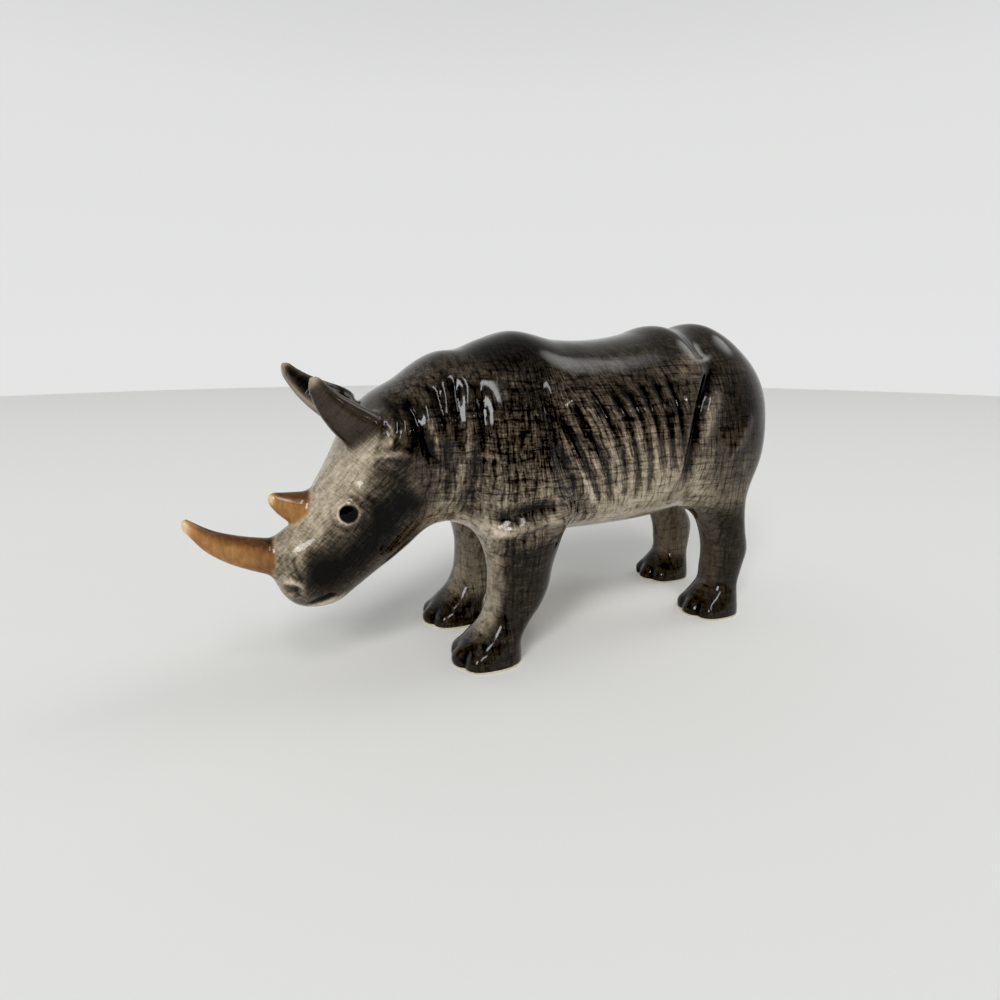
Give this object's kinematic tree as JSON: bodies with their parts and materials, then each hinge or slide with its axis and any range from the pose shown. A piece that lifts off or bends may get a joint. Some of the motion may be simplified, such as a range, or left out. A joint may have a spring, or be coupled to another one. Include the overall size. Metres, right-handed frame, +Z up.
{
  "type": "rhinoceros figurine",
  "caption": "Small glazed porcelain rhinoceros standing with lowered head, long curved front horn, short rear horn, folded hide and flat soles.",
  "frame": {"origin": "on the ground under the middle of the figurine's box", "axes": "+Z up; the animal faces -X and its tail is at +X; +Y is its right-hand side"},
  "size_m": [0.089, 0.0279, 0.046],
  "materials": {
    "glazed_porcelain": "grey-brown underglaze brushwork over a pale body, clear gloss glaze, amber horns, bare pale rims at the soles"
  },
  "bodies": {
    "root": {"rhinoceros": "glazed_porcelain"}
  },
  "joints": []
}
